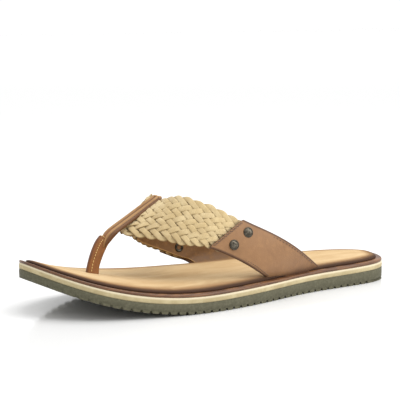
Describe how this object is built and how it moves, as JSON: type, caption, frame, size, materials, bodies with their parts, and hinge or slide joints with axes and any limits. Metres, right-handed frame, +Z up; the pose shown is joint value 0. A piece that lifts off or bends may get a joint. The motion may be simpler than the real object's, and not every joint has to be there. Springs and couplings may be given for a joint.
{
  "type": "flip flop",
  "caption": "Left flip flop with a layered sole, a leather toe post and a thong of woven straps held to leather side patches.",
  "frame": {"origin": "on the ground, under the middle of the sole's length and width", "axes": "+X towards the toes, +Y towards the wearer's left (the little-toe side), +Z up"},
  "size_m": [0.2911, 0.1091, 0.0741],
  "materials": {
    "sole_rubber": "matte olive grey, cut with fine cross ribs",
    "midsole_foam": "matte cream foam",
    "board_leather": "burnished brown edge",
    "cushion_foam": "soft foam",
    "footbed_leather": "tan nubuck with darker burnished edges",
    "braid_cotton": "natural cotton tape, flat braid",
    "patch_leather": "brown waxed nubuck",
    "lining_leather": "soft brown lining",
    "strip_leather": "tan leather with two raised ridges",
    "post_leather": "smooth orange-brown leather",
    "webbing": "woven tape",
    "rivet_brass": "antique, dull",
    "thread_dark": "waxed thread",
    "thread_light": "waxed thread",
    "hard_plastic": "moulded disc"
  },
  "bodies": {
    "rear_sole": {"outsole_rear": "sole_rubber", "midsole_rear": "midsole_foam", "insole_board_rear": "board_leather", "footbed_foam_rear": "cushion_foam", "footbed_cover_rear": "footbed_leather", "lateral_strap_tab": "lining_leather", "medial_strap_tab": "lining_leather"},
    "forefoot": {"outsole_front": "sole_rubber", "midsole_front": "midsole_foam", "insole_board_front": "board_leather", "footbed_foam_front": "cushion_foam", "footbed_cover_front": "footbed_leather", "post_stem": "webbing", "post_anchor": "hard_plastic"},
    "toe_post": {"post_leather": "post_leather", "post_webbing": "webbing", "post_stitching": "thread_light"},
    "upper": {"lateral_woven_strap": "braid_cotton", "lateral_strap_lining": "lining_leather", "lateral_side_patch": "patch_leather", "lateral_rivet_caps": "rivet_brass", "lateral_rivet_backs": "rivet_brass", "lateral_patch_stitching": "thread_dark", "medial_woven_strap": "braid_cotton", "medial_strap_lining": "lining_leather", "medial_side_patch": "patch_leather", "medial_rivet_caps": "rivet_brass", "medial_rivet_backs": "rivet_brass", "medial_patch_stitching": "thread_dark", "centre_strip": "strip_leather", "centre_strip_stitching": "thread_dark"}
  },
  "joints": [
    {"name": "forefoot_flex", "type": "hinge", "parent": "rear_sole", "child": "forefoot", "pos_m": [0.044, 0, 0.0172], "axis": [0, -1, 0], "range_deg": [0, 25], "stiffness_Nm_per_rad": 1.5},
    {"name": "upper_lift", "type": "hinge", "parent": "rear_sole", "child": "upper", "pos_m": [-0.0725, 0, 0.0155], "axis": [0, -1, 0], "range_deg": [0, 10]},
    {"name": "post_tilt", "type": "hinge", "parent": "forefoot", "child": "toe_post", "pos_m": [0.0898, -0.015, 0.0258], "axis": [0, 1, 0], "range_deg": [0, 40]}
  ],
  "couplings": [
    {"joint": "upper_lift", "follows": "forefoot_flex", "ratio": 0.302},
    {"joint": "post_tilt", "follows": "forefoot_flex", "ratio": 1.4}
  ]
}
